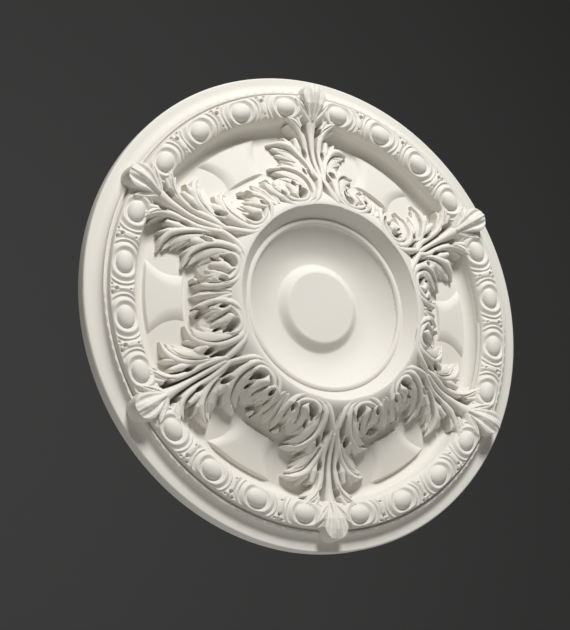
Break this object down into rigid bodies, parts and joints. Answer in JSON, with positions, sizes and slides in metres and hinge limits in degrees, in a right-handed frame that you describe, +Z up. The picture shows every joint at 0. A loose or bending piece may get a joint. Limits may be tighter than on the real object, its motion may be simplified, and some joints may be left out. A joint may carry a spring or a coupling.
{
  "type": "ceiling rose",
  "caption": "Round cast plaster ceiling rose with acanthus sprays, raised panels, an egg and dart rim and a dished centre for a lamp cup.",
  "frame": {"origin": "centre of the flat back face, which goes against the ceiling", "axes": "+Y out of the back into the ceiling, -Y out of the carved face, +Z up along one spray as the picture shows the rose, +X to the right seen from the front"},
  "size_m": [0.6, 0.0604, 0.6],
  "materials": {
    "plaster": "matt cast plaster, warm white, finely rubbed down"
  },
  "bodies": {
    "root": {"ceiling_rose": "plaster"}
  },
  "joints": []
}
